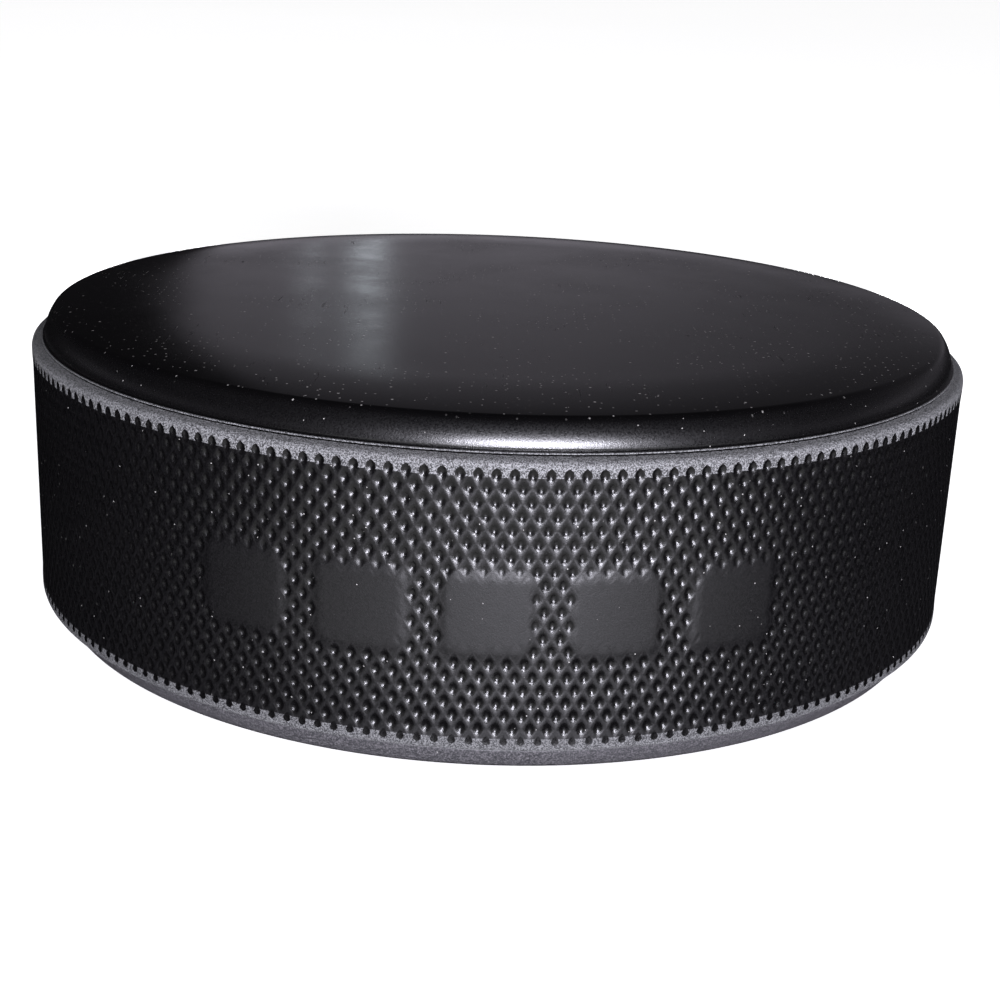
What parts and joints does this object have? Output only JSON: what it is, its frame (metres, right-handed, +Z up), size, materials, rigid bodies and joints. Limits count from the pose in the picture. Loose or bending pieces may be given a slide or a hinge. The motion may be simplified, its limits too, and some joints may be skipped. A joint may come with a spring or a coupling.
{
  "type": "ice hockey puck",
  "caption": "Solid black rubber ice hockey puck: a flat disc with rounded shoulders, plain rim bands and a knurled side wall.",
  "frame": {"origin": "centre of the lower flat face, so the puck stands on z = 0", "axes": "+Z up along the disc's axis, from the lower face to the upper face; X and Y lie in the lower face"},
  "size_m": [0.0762, 0.0762, 0.0254],
  "materials": {
    "rubber": "satin black faces, glossier shoulders, matte grey-black side with fine knurling"
  },
  "bodies": {
    "root": {"puck_body": "rubber"}
  },
  "joints": []
}
